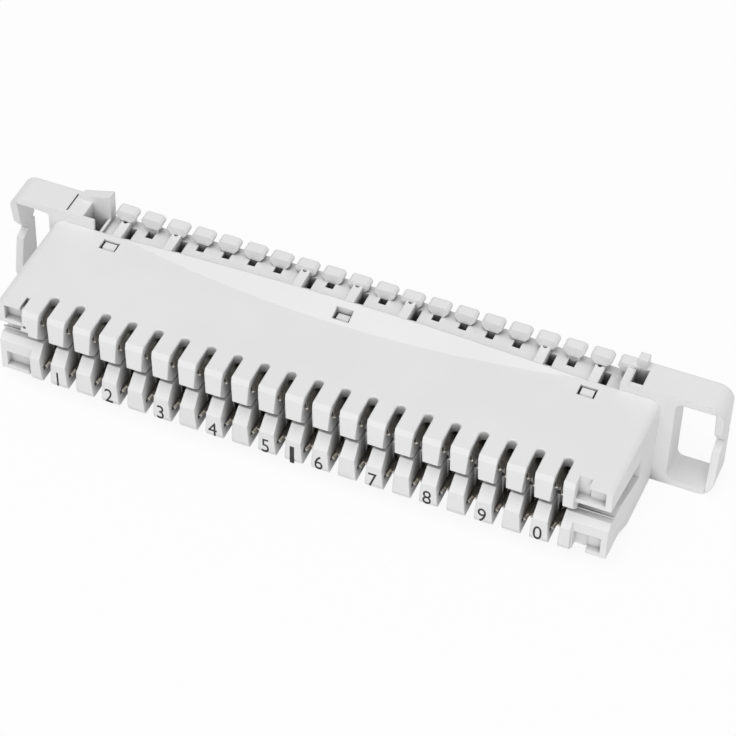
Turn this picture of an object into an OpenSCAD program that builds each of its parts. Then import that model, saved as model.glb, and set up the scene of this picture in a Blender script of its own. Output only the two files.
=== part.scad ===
// Punch down wiring block: slotted front housing, rear base, forty fork contacts.
// Millimetres. X runs along the row of slots, Y from the wire side to the rear, Z up.

/* [Wire rows] */
// Distance between neighbouring wire slots
pair_pitch = 4.5; // [3.75:0.05:5.4]
// Width of a wire slot at the outer face of the plate
slot_width = 1.46; // [1.2:0.02:1.75]
// Extra width of a wire slot at the inner end of a tooth
slot_flare = 0.85; // [0.6:0.05:1.1]
// Length of a wire slot, from the tooth face to its round end
slot_length = 5.3; // [4.4:0.1:6.4]
// From the middle plane of the block to the outer face of a row
row_height = 7.3; // [6.1:0.1:8.8]

/* [Housing] */
// From the last slot to the end of the housing
end_block_length = 8.8; // [8.0:0.1:10.6]
// From the tooth faces to the seam with the base
housing_depth = 21.8; // [18.2:0.1:26.2]
// Height of the foot under the lower row
foot_height = 2.5; // [2.0:0.1:3.0]
// Height of the disconnect slit between the rows
slit_height = 0.8; // [0.6:0.05:1.0]
// Depth of the disconnect slit
slit_depth = 14.8; // [13.5:0.1:16.5]
// Radius of the upper long edges at the two ends
end_edge_radius = 1.8; // [1.4:0.1:2.2]
// Rise of the crown at the seam
crown_rise = 1.3; // [1.0:0.1:1.6]

/* [Base] */
// Thickness of the base behind the seam
base_depth = 5.7; // [4.8:0.1:6.8]
// From the end of the housing to the outside of a frame eye
eye_reach = 9.1; // [7.6:0.1:10.9]
// Thickness of the bars of a frame eye
eye_wall = 1.3; // [1.1:0.05:1.6]
// The base sits this far to the right of the slot rows
base_shift = 0.9; // [0.7:0.05:1.1]
// Height of the peg heads above the plate
peg_rise = 2.0; // [1.6:0.1:2.4]
// Width of a peg head
peg_width = 3.5; // [2.9:0.1:3.6]
// Length of the clip feet behind the base
clip_depth = 6.5; // [5.4:0.1:7.8]

/* [Contacts] */
// Thickness of the contact sheet
contact_sheet = 0.5; // [0.4:0.02:0.6]
// Width of a fork contact, across its two prongs
contact_width = 3.2; // [2.7:0.1:3.3]
// Gap between the two prongs
fork_gap = 0.35; // [0.3:0.02:0.42]
// Free play of a contact in its groove, all round
contact_play = 0.04; // [0.03:0.01:0.06]

/* [Hidden] */
$fn = 48;
slot_count = 20;
half_row = (slot_count - 1) * pair_pitch / 2;
half_length = half_row + end_block_length;
mid_z = foot_height + row_height;
plate_z = mid_z + row_height;
front_y = -(housing_depth + base_depth + clip_depth) / 2;
lip = slit_height / 2;
face_low = 2.4;
lead_depth = 2.0;
block_edge = half_row + 2.65;
block_set_back = 1.0;
plate_skin = 2.0;
chamber_width = 2.8;
chamber_front = 7.0;
fork_z = 4.0;
fork_front = 1.2;
groove_front = 1.0;
tongue_y = 10.8;
contact_rear = housing_depth - 0.05;
window_width = 2.8;
window_depth = 2.2;
window_front = housing_depth - 3.5;
latch_places = [-9, 0, 9];
latch_width = 4;
latch_sheet = 0.9;
latch_play = 0.15;
latch_low = 4.9;
crown_half = 40 / 42.75 * half_row;
crown_radius = crown_half * crown_half / (2 * crown_rise);
crown_tilt = atan(0.3);
ledge_drop = 1.1;
rear_y = housing_depth + base_depth;
eye_out = half_length + eye_reach;
eye_in = half_length + 1.5;
shelf_z = plate_z + 1.9;
rib_places = [-9, -7, -2, 0, 2, 7, 9];
peg_top = plate_z + peg_rise;
clip_z = 2.2;
clip_height = 6.2;
clip_width = 8;
clip_x = half_length - 5.6;

plastic_white = [0.87, 0.87, 0.86];
silver_plate = [0.75, 0.74, 0.71];

contact_names = [for (row = ["upper", "lower"]) for (k = [1:slot_count])
    str(row, "_contact_", k < 10 ? "0" : "", k)];

function slot_x(k) = (k - (slot_count + 1) / 2) * pair_pitch;

// Everything is drawn from the middle of the slot rows, the tooth faces and the underside.
module placed() {
  translate([-base_shift, front_y, 0]) children();
}

// A length along X of a side profile, given as [y, z] points.
module along_x(from, to) {
  translate([from, 0, 0]) rotate([90, 0, 90]) linear_extrude(to - from) children();
}

// A length along Y of a front profile, given as [x, z] points.
module along_y(from, to) {
  translate([0, to, 0]) rotate([90, 0, 0]) linear_extrude(to - from) children();
}

module block(x0, x1, y0, y1, z0, z1) {
  translate([x0, y0, z0]) cube([x1 - x0, y1 - y0, z1 - z0]);
}

// The waste outside a rounded corner, as a square less a quarter of a circle.
module corner_waste(radius) {
  difference() {
    translate([-radius, -radius]) square(radius + 1);
    translate([-radius, -radius]) circle(radius);
  }
}

module both_rows() {
  translate([0, 0, mid_z]) children();
  translate([0, 0, mid_z]) mirror([0, 0, 1]) children();
}

// ---- housing ----

module side_profile() {
  r = row_height;
  polygon([
    [housing_depth, plate_z],
    [0.6, plate_z],
    [0.15, plate_z - 1],
    [0, mid_z + face_low],
    [lead_depth, mid_z + lip],
    [slit_depth, mid_z + lip],
    [slit_depth, mid_z - lip],
    [lead_depth, mid_z - lip],
    [0, mid_z - face_low],
    [0.15, mid_z - r + 1],
    [0.6, mid_z - r],
    [6.5, mid_z - r],
    [11.5, 0],
    [housing_depth, 0]
  ]);
}

module plan_profile() {
  polygon([
    [-half_length, housing_depth],
    [-half_length + 0.5, 0],
    [half_length - 0.5, 0],
    [half_length, housing_depth]
  ]);
}

module crown() {
  intersection() {
    block(-half_row, half_row, 9, housing_depth, plate_z - 1, plate_z + 3);
    translate([0, housing_depth, plate_z + crown_rise])
      rotate([crown_tilt, 0, 0])
        translate([0, 0, -crown_radius])
          rotate([90, 0, 0])
            cylinder(h = 80, r = crown_radius, center = true, $fn = 1440);
  }
}

module housing_shell() {
  difference() {
    intersection() {
      along_x(-half_length, half_length) side_profile();
      linear_extrude(plate_z) plan_profile();
    }
    for (side = [0, 1]) mirror([side, 0, 0]) {
      translate([half_length, 0, plate_z]) along_y(-1, housing_depth + 1) corner_waste(end_edge_radius);
      translate([half_length, 0, 0]) mirror([0, 0, 1]) along_y(-1, housing_depth + 1) corner_waste(0.8);
    }
  }
  crown();
}

// One wire slot of the upper row: flared prism with a round end, chamfered at the plate.
module wire_slot() {
  half = slot_width / 2;
  half_low = half + slot_flare / 2;
  straight = slot_length - half;
  along_y(-1, straight)
    polygon([
      [-half - 0.22, row_height + 0.1],
      [-half, row_height - 0.18],
      [-half_low, 0.1],
      [half_low, 0.1],
      [half, row_height - 0.18],
      [half + 0.22, row_height + 0.1]
    ]);
  translate([0, straight, 0.1]) cylinder(h = row_height, r = half - 0.005);
  translate([0, straight, row_height - 0.18]) cylinder(h = 0.28, r1 = half - 0.005, r2 = half + 0.21);
}

// Room behind a wire slot: passage, contact chamber and the tongue space over the slit.
module contact_room() {
  half = slot_width / 2;
  room = chamber_width / 2;
  block(-half, half, slot_length - 1, chamber_front + 0.2, 2.6, row_height - plate_skin);
  block(-room, room, chamber_front, housing_depth + 1, face_low, row_height - plate_skin);
  block(-room, room, 10, slit_depth - 0.3, 0.1, face_low + 0.1);
  block(-room, room, 10, housing_depth + 1, 1.6, face_low + 0.1);
  translate([0, 0, fork_z]) rotate([0, 45, 0])
    block(-contact_width / 2 - contact_play, contact_width / 2 + contact_play,
      groove_front, chamber_front + 0.2,
      -contact_sheet / 2 - contact_play, contact_sheet / 2 + contact_play);
}

module latch_socket() {
  w = latch_width / 2 + latch_play;
  block(-w, w, window_front - 0.6, housing_depth + 1,
    mid_z + latch_low - latch_play, mid_z + latch_low + latch_sheet + latch_play);
  block(-window_width / 2, window_width / 2, window_front, window_front + window_depth,
    mid_z + latch_low, plate_z + 1);
}

// The open jaw at each end of the slit.
module end_jaw() {
  along_x(block_edge, half_length + 1)
    polygon([
      [-1, mid_z + 3.25],
      [slit_depth, mid_z + 1.3],
      [slit_depth, mid_z - 2.7],
      [lead_depth + 0.4, mid_z + 0.5],
      [0.6, mid_z - 1.7],
      [-1, mid_z - 1.7]
    ]);
}

module end_waste_right() {
  block(block_edge, half_length + 1, -1, block_set_back, -1, plate_z + 1);
  end_jaw();
  block(block_edge, block_edge + 1.95, -1, 2.4, mid_z + 3.8, plate_z + 1);
  block(block_edge + 1.9, block_edge + 4.6, -1, 2.1, mid_z + 3.8, plate_z - 0.75);
  block(block_edge + 0.2, block_edge + 2.4, -1, 2.4, -1, mid_z - 3.4);
  block(block_edge + 2.3, block_edge + 4.6, -1, 2.1, mid_z - row_height + 0.75, mid_z - 3.4);
}

module end_waste_left() {
  edge = block_edge + 1.25;
  block(-half_length - 1, -edge, -1, block_set_back, mid_z, plate_z + 1);
  block(-half_length - 1, -block_edge - 0.1, -1, block_set_back, -1, mid_z);
  mirror([1, 0, 0]) end_jaw();
  block(-edge - 0.35, -edge + 0.25, -1, 3.4, mid_z + 3.8, plate_z + 1);
  block(-edge - 3.2, -edge + 0.2, -1, 2.2, mid_z + 3.8, plate_z - 0.75);
  block(-block_edge - 0.8, -block_edge - 0.1, -1, 3.2, -1, mid_z - 4.4);
  block(-edge - 3.4, -block_edge - 0.6, -1, 2.2, mid_z - row_height + 0.75, mid_z - 3.6);
  translate([-block_edge - 0.6, -1, mid_z + 4]) rotate([-90, 0, 0]) cylinder(h = 2.6, r = 0.28);
}

module front_housing() {
  color(plastic_white)
    placed()
      difference() {
        housing_shell();
        for (k = [1:slot_count])
          translate([slot_x(k), 0, 0])
            both_rows() {
              wire_slot();
              contact_room();
            }
        for (j = latch_places) translate([j * pair_pitch, 0, 0]) latch_socket();
        end_waste_right();
        end_waste_left();
      }
}

// ---- base ----

// The crowned top of the ledge, raised by lift above the seam edge of the plate.
module crowned_bar(x0, x1, y0, y1, lift) {
  intersection() {
    block(x0, x1, y0, y1, 1, plate_z + 3);
    translate([0, 0, plate_z + crown_rise + lift - crown_radius])
      rotate([90, 0, 0])
        cylinder(h = 120, r = crown_radius, center = true, $fn = 1440);
  }
}

module eye_outline() {
  polygon([
    [housing_depth, shelf_z],
    [housing_depth + 1.1, mid_z + 2.8],
    [rear_y - 2.2, mid_z - 0.3],
    [housing_depth + 1.6, mid_z - 1.3],
    [housing_depth + 0.3, 1.5],
    [housing_depth, 0],
    [rear_y, 0],
    [rear_y, mid_z + 0.5],
    [rear_y - 1.1, mid_z + 1],
    [rear_y, mid_z + 1.5],
    [rear_y, shelf_z]
  ]);
}

// One frame eye, on the right of the base.
module frame_eye() {
  difference() {
    union() {
      along_x(eye_out - eye_wall, eye_out) eye_outline();
      block(half_length - 1, eye_out - eye_wall, housing_depth, rear_y, 0, shelf_z);
    }
    block(eye_in + 1.2, eye_out - eye_wall, housing_depth - 1, rear_y + 1, eye_wall, shelf_z - eye_wall);
    block(eye_in, eye_in + 1.3, housing_depth - 1, rear_y + 1, eye_wall + 1.2, shelf_z - eye_wall - 1.2);
    for (z = [eye_wall + 1.25, shelf_z - eye_wall - 1.25])
      translate([eye_in + 1.25, 0, z]) along_y(housing_depth - 1, rear_y + 1) circle(1.25);
    translate([eye_out, 0, shelf_z]) along_y(housing_depth - 1, rear_y + 1) corner_waste(2.6);
    translate([eye_out, 0, 0]) mirror([0, 0, 1]) along_y(housing_depth - 1, rear_y + 1) corner_waste(2.6);
  }
}

module peg() {
  w = peg_width / 2;
  low = plate_z + 0.1;
  block(-1, 1, rear_y - 1.4, rear_y, mid_z, low + 0.3);
  along_y(rear_y - 1.9, rear_y)
    polygon([
      [-1, low],
      [-w, peg_top - 0.9],
      [-w, peg_top - 0.4],
      [-w + 0.4, peg_top],
      [w - 0.4, peg_top],
      [w, peg_top - 0.4],
      [w, peg_top - 0.9],
      [1, low]
    ]);
}

module peg_pocket() {
  block(-0.65, 0.65, rear_y - 3.1, rear_y - 1.5, mid_z + 2, plate_z + 2);
}

module rib_slot() {
  block(0.8, 1.9, housing_depth + 1.2, rear_y - 1.8, mid_z + 2, plate_z + 2);
  translate([-0.1, rear_y - 1.9, plate_z - 3]) cylinder(h = 6, r = 0.35);
}

module latch() {
  w = latch_width / 2;
  nub = window_width / 2 - 0.35;
  block(-w, w, window_front - 0.4, housing_depth + 1, mid_z + latch_low, mid_z + latch_low + latch_sheet);
  along_x(-nub, nub)
    polygon([
      [window_front + 0.2, mid_z + latch_low + 0.5],
      [window_front + 0.2, plate_z - 1],
      [window_front + 0.8, plate_z - 0.3],
      [window_front + window_depth - 0.2, plate_z - 0.3],
      [window_front + window_depth - 0.2, mid_z + latch_low + 0.5]
    ]);
}

module left_end() {
  x = half_row + pair_pitch / 2;
  difference() {
    union() {
      block(-half_length - 1, -x + 1.7, housing_depth, rear_y, 0, shelf_z);
      along_y(rear_y - 1.7, rear_y)
        polygon([[-x - 3.7, shelf_z - 1], [-x - 3.7, shelf_z + 0.5], [-x + 1.7, shelf_z + 2.1], [-x + 1.7, shelf_z - 1]]);
    }
    block(-x - 1.5, -x + 1.2, housing_depth + 0.5, rear_y - 1.75, mid_z, shelf_z + 1);
    block(-x + 0.6, -x + 2, housing_depth - 1, rear_y - 1.75, plate_z - 0.6, shelf_z + 1);
    block(-x - 5, -x - 4.4, housing_depth + 0.7, rear_y - 0.8, shelf_z - 0.9, shelf_z + 1);
  }
}

module right_end() {
  x = half_row + pair_pitch / 2;
  difference() {
    union() {
      block(x + 1.2, half_length + 1, housing_depth, rear_y, 0, shelf_z);
      block(x + 1.2, x + 2.8, rear_y - 1.7, rear_y, shelf_z - 1, plate_z + 3.5);
    }
    block(x + 1.3, x + 3.3, housing_depth + 0.5, rear_y - 1.75, mid_z, shelf_z + 1);
  }
  block(x - 0.2, x + 1.3, housing_depth, rear_y - 0.5, mid_z, plate_z + 1.4);
}

// A clip foot behind the base: two jaws round a rail.
module clip_foot() {
  low = clip_z;
  top = clip_z + clip_height;
  along_x(-clip_width / 2, clip_width / 2)
    difference() {
      polygon([
        [rear_y - 0.5, low],
        [rear_y + clip_depth - 1.2, low],
        [rear_y + clip_depth, low + 0.9],
        [rear_y + clip_depth, low + 1.7],
        [rear_y + clip_depth - 1.6, low + 2],
        [rear_y + clip_depth - 1.6, top - 2],
        [rear_y + clip_depth, top - 1.7],
        [rear_y + clip_depth, top - 0.9],
        [rear_y + clip_depth - 1.2, top],
        [rear_y - 0.5, top]
      ]);
      translate([rear_y + clip_depth - 3.1, (low + top) / 2]) circle(1.9);
    }
}

// Shallow pockets that lighten the rear face.
module rear_pockets() {
  count = 5;
  span = 2 * (clip_x - clip_width / 2 - 1.5);
  step = span / count;
  for (i = [0:count - 1]) {
    x = -span / 2 + i * step;
    block(x + 0.8, x + step - 0.8, rear_y - 2.2, rear_y + 1, 2, mid_z + 1.2);
  }
}

module rear_base() {
  x = half_row + pair_pitch / 2;
  color(plastic_white)
    placed() {
      difference() {
        union() {
          block(-half_length, half_length, housing_depth, rear_y, 0, mid_z);
          crowned_bar(-half_length + 2, half_length - 2, housing_depth, rear_y, -ledge_drop);
          for (j = rib_places)
            crowned_bar(j * pair_pitch - 0.8, j * pair_pitch + 0.8, housing_depth, rear_y - 1, 0);
        }
        for (j = [-9:9])
          if (len(search(j, rib_places)) == 0) translate([j * pair_pitch, 0, 0]) peg_pocket();
        for (j = rib_places) translate([j * pair_pitch, 0, 0]) rib_slot();
        rear_pockets();
        block(x + 1.3, x + 3.3, housing_depth + 0.5, rear_y - 1.75, mid_z, plate_z + 3);
        block(-x - 1.5, -x + 1.2, housing_depth + 0.5, rear_y - 1.75, mid_z, plate_z + 3);
      }
      for (j = [-9:10]) translate([j * pair_pitch, 0, 0]) peg();
      for (j = latch_places) translate([j * pair_pitch, 0, 0]) latch();
      left_end();
      right_end();
      translate([base_shift, 0, 0]) {
        frame_eye();
        mirror([1, 0, 0]) frame_eye();
        for (side = [-1, 1]) translate([side * clip_x, 0, 0]) clip_foot();
      }
    }
}

// ---- contacts ----

// A fork contact of the upper row, drawn about the middle plane.
module fork_contact() {
  half = contact_width / 2;
  sheet = contact_sheet / 2;
  translate([0, 0, fork_z]) rotate([0, 45, 0])
    difference() {
      block(-half, half, fork_front, chamber_front + 1.4, -sheet, sheet);
      block(-fork_gap / 2, fork_gap / 2, 0, slot_length, -1, 1);
      translate([0, slot_length, -1]) cylinder(h = 2, r = 0.32);
      translate([0, 0, -1]) linear_extrude(2)
        polygon([[-0.7, fork_front - 0.2], [0, fork_front + 1.3], [0.7, fork_front - 0.2]]);
      for (side = [0, 1]) mirror([side, 0, 0])
        translate([half, fork_front, -1]) rotate([0, 0, 45]) cube([1, 1, 4], center = true);
    }
  along_x(-sheet, sheet)
    polygon([
      [chamber_front + 0.6, 3.3],
      [chamber_front + 0.6, 4.7],
      [contact_rear, 4.3],
      [contact_rear, 2.1],
      [tongue_y + 3, 2.1],
      [tongue_y + 1.2, 0],
      [tongue_y, 0],
      [tongue_y - 0.4, 2.3]
    ]);
}

module upper_contact(k) {
  color(silver_plate) placed() translate([slot_x(k), 0, mid_z]) fork_contact();
}

module lower_contact(k) {
  color(silver_plate) placed() translate([slot_x(k), 0, mid_z]) mirror([0, 0, 1]) fork_contact();
}

// ---- nodes ----

front_housing();
rear_base();
upper_contact(1);  // upper_contact_01
upper_contact(2);  // upper_contact_02
upper_contact(3);  // upper_contact_03
upper_contact(4);  // upper_contact_04
upper_contact(5);  // upper_contact_05
upper_contact(6);  // upper_contact_06
upper_contact(7);  // upper_contact_07
upper_contact(8);  // upper_contact_08
upper_contact(9);  // upper_contact_09
upper_contact(10);  // upper_contact_10
upper_contact(11);  // upper_contact_11
upper_contact(12);  // upper_contact_12
upper_contact(13);  // upper_contact_13
upper_contact(14);  // upper_contact_14
upper_contact(15);  // upper_contact_15
upper_contact(16);  // upper_contact_16
upper_contact(17);  // upper_contact_17
upper_contact(18);  // upper_contact_18
upper_contact(19);  // upper_contact_19
upper_contact(20);  // upper_contact_20
lower_contact(1);  // lower_contact_01
lower_contact(2);  // lower_contact_02
lower_contact(3);  // lower_contact_03
lower_contact(4);  // lower_contact_04
lower_contact(5);  // lower_contact_05
lower_contact(6);  // lower_contact_06
lower_contact(7);  // lower_contact_07
lower_contact(8);  // lower_contact_08
lower_contact(9);  // lower_contact_09
lower_contact(10);  // lower_contact_10
lower_contact(11);  // lower_contact_11
lower_contact(12);  // lower_contact_12
lower_contact(13);  // lower_contact_13
lower_contact(14);  // lower_contact_14
lower_contact(15);  // lower_contact_15
lower_contact(16);  // lower_contact_16
lower_contact(17);  // lower_contact_17
lower_contact(18);  // lower_contact_18
lower_contact(19);  // lower_contact_19
lower_contact(20);  // lower_contact_20
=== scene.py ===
import math

import bmesh
import bpy
from mathutils import Euler, Matrix, Vector


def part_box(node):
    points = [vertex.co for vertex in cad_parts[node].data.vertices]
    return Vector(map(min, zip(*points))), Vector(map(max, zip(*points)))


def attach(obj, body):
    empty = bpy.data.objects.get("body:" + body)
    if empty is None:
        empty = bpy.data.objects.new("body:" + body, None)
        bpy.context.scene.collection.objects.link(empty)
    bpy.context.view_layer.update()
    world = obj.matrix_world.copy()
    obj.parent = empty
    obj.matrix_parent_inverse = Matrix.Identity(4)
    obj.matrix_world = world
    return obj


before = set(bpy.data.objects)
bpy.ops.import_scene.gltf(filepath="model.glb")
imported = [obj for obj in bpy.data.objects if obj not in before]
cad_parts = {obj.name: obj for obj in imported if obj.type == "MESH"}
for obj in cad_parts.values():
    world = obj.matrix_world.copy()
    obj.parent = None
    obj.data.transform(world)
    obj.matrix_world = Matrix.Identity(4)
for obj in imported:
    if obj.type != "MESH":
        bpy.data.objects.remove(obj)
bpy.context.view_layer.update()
mm = 0.001
print("frame loaded:", len(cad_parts), "nodes")

# where the slot rows sit in the frame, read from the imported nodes
slotCount = 20
middleTooth = slotCount // 2
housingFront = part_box("front_housing")[0].y
firstLow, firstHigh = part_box("upper_contact_01")
lastLow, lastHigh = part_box("upper_contact_20")
rowMiddle = (firstLow.x + firstHigh.x + lastLow.x + lastHigh.x) / 4
slotPitch = (lastLow.x - firstLow.x) / (slotCount - 1)


# nearly all of a noise pattern's values lie between these two
noiseLow = 0.3
noiseHigh = 0.7


def newMaterial(name):
    material = bpy.data.materials.new(name)
    material.use_nodes = True
    nodes = material.node_tree.nodes
    nodes.clear()
    output = nodes.new("ShaderNodeOutputMaterial")
    shader = nodes.new("ShaderNodeBsdfPrincipled")
    material.node_tree.links.new(shader.outputs[0], output.inputs[0])
    return material, nodes, material.node_tree.links, shader


def objectNoise(nodes, links, scale, detail, roughness=0.5):
    place = nodes.new("ShaderNodeTexCoord")
    noise = nodes.new("ShaderNodeTexNoise")
    noise.inputs["Scale"].default_value = scale
    noise.inputs["Detail"].default_value = detail
    noise.inputs["Roughness"].default_value = roughness
    links.new(place.outputs["Object"], noise.inputs["Vector"])
    return noise


def rangeOf(nodes, links, source, low, high, fromLow=noiseLow, fromHigh=noiseHigh):
    spread = nodes.new("ShaderNodeMapRange")
    spread.inputs["From Min"].default_value = fromLow
    spread.inputs["From Max"].default_value = fromHigh
    spread.inputs["To Min"].default_value = low
    spread.inputs["To Max"].default_value = high
    links.new(source, spread.inputs["Value"])
    return spread.outputs[0]


def colourBetween(nodes, links, source, dark, light):
    ramp = nodes.new("ShaderNodeValToRGB")
    ramp.color_ramp.elements[0].position = noiseLow
    ramp.color_ramp.elements[0].color = (*dark, 1)
    ramp.color_ramp.elements[1].position = noiseHigh
    ramp.color_ramp.elements[1].color = (*light, 1)
    links.new(source, ramp.inputs[0])
    return ramp.outputs[0]


plasticLook = {
    "dark": (0.765, 0.765, 0.765), "light": (0.795, 0.795, 0.795),
    "cloudScale": 60, "cloudDetail": 3,
    "roughLow": 0.36, "roughHigh": 0.46,
    "flowScale": 420, "flowDetail": 4,
    "grainScale": 5200, "grainDetail": 2, "grainHeight": 0.012 * mm, "grainStrength": 0.25,
    "edgeRadius": 0.22 * mm, "edgeSamples": 6,
    # settings for the painted shade: how far the occlusion looks and how dark hollows get
    "hollowReach": 4.0 * mm, "hollowSamples": 8,
    "paintedShadeLevel": 0.12, "openFrom": 0.06, "openTo": 0.5,
    "refraction": 1.5,
}


# painted shade: the base colour is darkened where the ambient occlusion node finds nearby surfaces, in
# slots, recesses and creases
def paintShadeInHollows(nodes, links, colour, look):
    hollow = nodes.new("ShaderNodeAmbientOcclusion")
    hollow.samples = look["hollowSamples"]
    hollow.inputs["Distance"].default_value = look["hollowReach"]
    openness = hollow.outputs["AO"]
    shade = rangeOf(nodes, links, openness, look["paintedShadeLevel"], 1, look["openFrom"], look["openTo"])
    shaded = nodes.new("ShaderNodeVectorMath")
    shaded.operation = "SCALE"
    links.new(colour, shaded.inputs[0])
    links.new(shade, shaded.inputs["Scale"])
    return shaded.outputs[0]


def mouldedPlastic(name, look):
    material, nodes, links, shader = newMaterial(name)
    cloud = objectNoise(nodes, links, look["cloudScale"], look["cloudDetail"])
    colour = colourBetween(nodes, links, cloud.outputs[0], look["dark"], look["light"])
    # the plastic colour gets painted shade in its hollows
    links.new(paintShadeInHollows(nodes, links, colour, look), shader.inputs["Base Color"])
    flow = objectNoise(nodes, links, look["flowScale"], look["flowDetail"])
    rough = rangeOf(nodes, links, flow.outputs[0], look["roughLow"], look["roughHigh"])
    links.new(rough, shader.inputs["Roughness"])
    grain = objectNoise(nodes, links, look["grainScale"], look["grainDetail"])
    edge = nodes.new("ShaderNodeBevel")
    edge.samples = look["edgeSamples"]
    edge.inputs["Radius"].default_value = look["edgeRadius"]
    bump = nodes.new("ShaderNodeBump")
    bump.inputs["Strength"].default_value = look["grainStrength"]
    bump.inputs["Distance"].default_value = look["grainHeight"]
    links.new(grain.outputs[0], bump.inputs["Height"])
    links.new(edge.outputs[0], bump.inputs["Normal"])
    links.new(bump.outputs[0], shader.inputs["Normal"])
    shader.inputs["IOR"].default_value = look["refraction"]
    return material


contactLook = {
    "dark": (0.50, 0.47, 0.42), "light": (0.78, 0.75, 0.70),
    "stainScale": 900, "stainDetail": 4, "stainRoughness": 0.6,
    "roughLow": 0.26, "roughHigh": 0.42,
    "scratchScale": 2600, "scratchDetail": 3,
    "edgeRadius": 0.08 * mm, "edgeSamples": 4,
}


def silverPlate(name, look):
    material, nodes, links, shader = newMaterial(name)
    stain = objectNoise(nodes, links, look["stainScale"], look["stainDetail"], look["stainRoughness"])
    colour = colourBetween(nodes, links, stain.outputs[0], look["dark"], look["light"])
    links.new(colour, shader.inputs["Base Color"])
    scratch = objectNoise(nodes, links, look["scratchScale"], look["scratchDetail"])
    rough = rangeOf(nodes, links, scratch.outputs[0], look["roughLow"], look["roughHigh"])
    links.new(rough, shader.inputs["Roughness"])
    shader.inputs["Metallic"].default_value = 1.0
    edge = nodes.new("ShaderNodeBevel")
    edge.samples = look["edgeSamples"]
    edge.inputs["Radius"].default_value = look["edgeRadius"]
    links.new(edge.outputs[0], shader.inputs["Normal"])
    return material


inkLook = {
    "dark": (0.012, 0.012, 0.014), "light": (0.035, 0.035, 0.038),
    "wearScale": 3200, "wearDetail": 3,
    "roughLow": 0.5, "roughHigh": 0.7,
}


def printInk(name, look):
    material, nodes, links, shader = newMaterial(name)
    wear = objectNoise(nodes, links, look["wearScale"], look["wearDetail"])
    colour = colourBetween(nodes, links, wear.outputs[0], look["dark"], look["light"])
    links.new(colour, shader.inputs["Base Color"])
    rough = rangeOf(nodes, links, wear.outputs[0], look["roughLow"], look["roughHigh"])
    links.new(rough, shader.inputs["Roughness"])
    return material


whitePlastic = mouldedPlastic("whitePlastic", plasticLook)
silverContact = silverPlate("silverContact", contactLook)
blackInk = printInk("blackInk", inkLook)


def finishNode(name, material):
    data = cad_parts[name].data
    data.materials.clear()
    data.materials.append(material)


finishNode("front_housing", whitePlastic)
finishNode("rear_base", whitePlastic)
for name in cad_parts:
    if "_contact_" in name:
        finishNode(name, silverContact)
print("materials on the frame")


digitLook = {
    "text": "1234567890",
    "firstTooth": 1,  # the first full tooth from the left
    "toothStep": 2,
    "height": 3.0 * mm,
    "across": 3.2 * mm,
    "middleZ": 4.45 * mm,
    "shift": -0.22 * mm,
    "thickness": 0.02 * mm,
    "curveSteps": 6,
}
toothFace = {"top": 7.4 * mm, "setBack": 0.15 * mm, "over": 3.9 * mm}
faceLean = math.atan(toothFace["setBack"] / toothFace["over"])


def toothX(tooth):
    return rowMiddle + (tooth - middleTooth) * slotPitch


def meshSpan(mesh):
    low = Vector([min(v.co[i] for v in mesh.vertices) for i in range(3)])
    high = Vector([max(v.co[i] for v in mesh.vertices) for i in range(3)])
    return high - low, (low + high) / 2


def ontoTooth(mesh, stretchX, stretchY, x, z):
    middle = meshSpan(mesh)[1]
    fit = Matrix.Diagonal((stretchX, stretchY, 1, 1))
    turn = Euler((math.pi / 2 + faceLean, 0, 0)).to_matrix().to_4x4()
    faceY = housingFront + (toothFace["top"] - z) * math.tan(faceLean)
    centred = Matrix.Translation((-middle.x, -middle.y, 0))
    mesh.transform(Matrix.Translation((x, faceY, z)) @ turn @ fit @ centred)
    mesh.update()


def printedDigit(character, tooth, look):
    curve = bpy.data.curves.new("digitCurve", "FONT")
    curve.body = character
    curve.size = 1
    curve.resolution_u = look["curveSteps"]
    outline = bpy.data.objects.new("digitOutline", curve)
    bpy.context.scene.collection.objects.link(outline)
    bpy.context.view_layer.update()
    finished = outline.evaluated_get(bpy.context.evaluated_depsgraph_get())
    mesh = bpy.data.meshes.new_from_object(finished)
    bpy.data.objects.remove(outline)
    work = bmesh.new()
    work.from_mesh(mesh)
    raised = bmesh.ops.extrude_face_region(work, geom=work.faces[:])
    raisedPoints = [item for item in raised["geom"] if isinstance(item, bmesh.types.BMVert)]
    bmesh.ops.translate(work, vec=(0, 0, look["thickness"]), verts=raisedPoints)
    bmesh.ops.recalc_face_normals(work, faces=work.faces[:])
    work.to_mesh(mesh)
    work.free()
    span = meshSpan(mesh)[0]
    x = toothX(tooth) + look["shift"]
    ontoTooth(mesh, look["across"], look["height"] / span.y, x, look["middleZ"])
    piece = bpy.data.objects.new(f"digit_{character}", mesh)
    bpy.context.scene.collection.objects.link(piece)
    piece.data.materials.append(blackInk)
    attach(piece, "root")


for place, character in enumerate(digitLook["text"]):
    printedDigit(character, digitLook["firstTooth"] + place * digitLook["toothStep"], digitLook)

barLook = {
    "width": 0.75 * mm,
    "height": 3.8 * mm,
    "middleZ": 4.35 * mm,
    "shift": -0.2 * mm,
    "thickness": 0.04 * mm,
    "cornerRadius": 0.12 * mm,
    "cornerSteps": 4,
}


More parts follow.
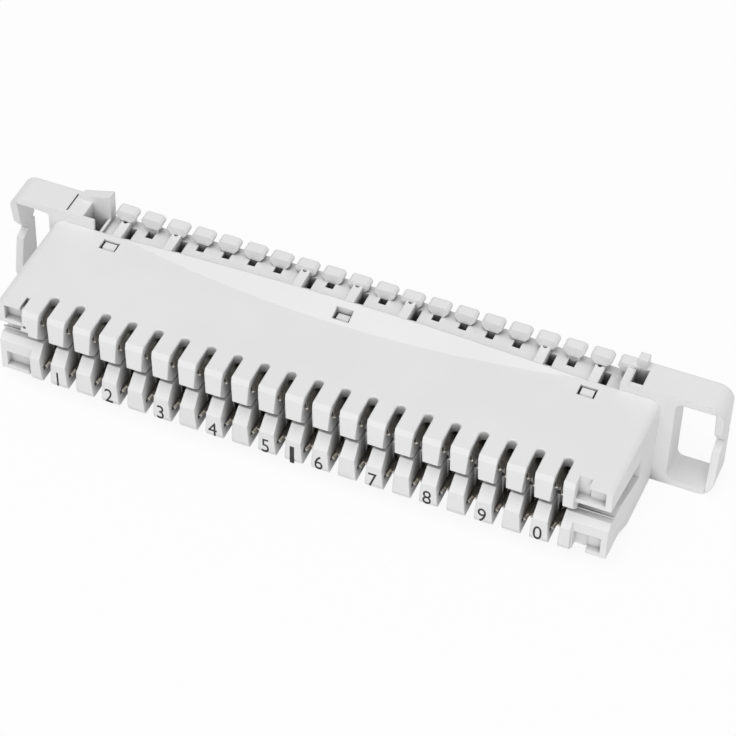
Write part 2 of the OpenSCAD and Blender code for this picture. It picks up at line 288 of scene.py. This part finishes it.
def printedBar(look):
    work = bmesh.new()
    size = Matrix.Diagonal((look["width"], look["height"], look["thickness"], 1))
    bmesh.ops.create_cube(work, size=1, matrix=size)
    upright = [edge for edge in work.edges
               if abs(edge.verts[0].co.z - edge.verts[1].co.z) > look["thickness"] / 2]
    bmesh.ops.bevel(work, geom=upright, offset=look["cornerRadius"], segments=look["cornerSteps"],
                    profile=0.5, affect="EDGES", material=-1)
    mesh = bpy.data.meshes.new("middleBar")
    work.to_mesh(mesh)
    work.free()
    ontoTooth(mesh, 1, 1, toothX(middleTooth) + look["shift"], look["middleZ"])
    piece = bpy.data.objects.new("middleBar", mesh)
    bpy.context.scene.collection.objects.link(piece)
    piece.data.materials.append(blackInk)
    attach(piece, "root")


printedBar(barLook)
print("digits printed")


stageLook = {"size": 4.0, "cells": 8, "colour": 0.88, "roughness": 0.9, "whiteShare": 0.9}


def studioFloor(look):
    work = bmesh.new()
    bmesh.ops.create_grid(work, x_segments=look["cells"], y_segments=look["cells"], size=look["size"] / 2)
    mesh = bpy.data.meshes.new("studioFloor")
    work.to_mesh(mesh)
    work.free()
    floor = bpy.data.objects.new("studioFloor", mesh)
    bpy.context.scene.collection.objects.link(floor)
    material, nodes, links, shader = newMaterial("floorPaper")
    shader.inputs["Base Color"].default_value = (look["colour"], look["colour"], look["colour"], 1)
    shader.inputs["Roughness"].default_value = look["roughness"]
    glow = nodes.new("ShaderNodeEmission")
    glow.inputs["Color"].default_value = (1, 1, 1, 1)
    glow.inputs["Strength"].default_value = 1.0
    path = nodes.new("ShaderNodeLightPath")
    share = nodes.new("ShaderNodeMath")
    share.operation = "MULTIPLY"
    share.inputs[1].default_value = look["whiteShare"]
    mix = nodes.new("ShaderNodeMixShader")
    output = next(node for node in nodes if node.type == "OUTPUT_MATERIAL")
    links.new(path.outputs["Is Camera Ray"], share.inputs[0])
    links.new(share.outputs[0], mix.inputs[0])
    links.new(shader.outputs[0], mix.inputs[1])
    links.new(glow.outputs[0], mix.inputs[2])
    links.new(mix.outputs[0], output.inputs[0])
    mesh.materials.append(material)


studioFloor(stageLook)

worldLook = {"light": 0.5, "background": 1.0}


def studioWorld(look):
    world = bpy.data.worlds.new("studioWorld")
    bpy.context.scene.world = world
    world.use_nodes = True
    nodes, links = world.node_tree.nodes, world.node_tree.links
    nodes.clear()
    output = nodes.new("ShaderNodeOutputWorld")
    path = nodes.new("ShaderNodeLightPath")
    soft = nodes.new("ShaderNodeBackground")
    soft.inputs["Strength"].default_value = look["light"]
    soft.inputs["Color"].default_value = (1, 1, 1, 1)
    white = nodes.new("ShaderNodeBackground")
    white.inputs["Color"].default_value = (1, 1, 1, 1)
    white.inputs["Strength"].default_value = look["background"]
    mix = nodes.new("ShaderNodeMixShader")
    links.new(path.outputs["Is Camera Ray"], mix.inputs[0])
    links.new(soft.outputs[0], mix.inputs[1])
    links.new(white.outputs[0], mix.inputs[2])
    links.new(mix.outputs[0], output.inputs[0])


studioWorld(worldLook)

lampAim = Vector((0, 0, 10 * mm))
lampLooks = {
    "softTop": {"from": (-0.1, -0.3, 0.95), "size": 0.9, "power": 5.0},
    "frontFill": {"from": (0.5, -0.85, 0.45), "size": 0.7, "power": 2.6},
}


def softLamp(name, look):
    data = bpy.data.lights.new(name, "AREA")
    data.shape = "DISK"
    data.size = look["size"]
    data.energy = look["power"]
    lamp = bpy.data.objects.new(name, data)
    bpy.context.scene.collection.objects.link(lamp)
    lamp.location = look["from"]
    aim = lampAim - Vector(look["from"])
    lamp.rotation_euler = aim.to_track_quat("-Z", "Y").to_euler()


for name, look in lampLooks.items():
    softLamp(name, look)

cameraLook = {
    "place": (117.27 * mm, -294.71 * mm, 324.6 * mm),
    "turn": (45.086, -1.477, 22.405),
    "lens": 138.76,
    "sensor": 36,
    "near": 0.01, "far": 20,
}


def studioCamera(look):
    data = bpy.data.cameras.new("studioCamera")
    data.lens = look["lens"]
    data.sensor_width = look["sensor"]
    data.clip_start = look["near"]
    data.clip_end = look["far"]
    camera = bpy.data.objects.new("studioCamera", data)
    bpy.context.scene.collection.objects.link(camera)
    camera.location = look["place"]
    camera.rotation_euler = Euler([math.radians(angle) for angle in look["turn"]], "XYZ")
    bpy.context.scene.camera = camera


studioCamera(cameraLook)
bpy.context.scene.view_settings.view_transform = "Standard"
print("stage ready")
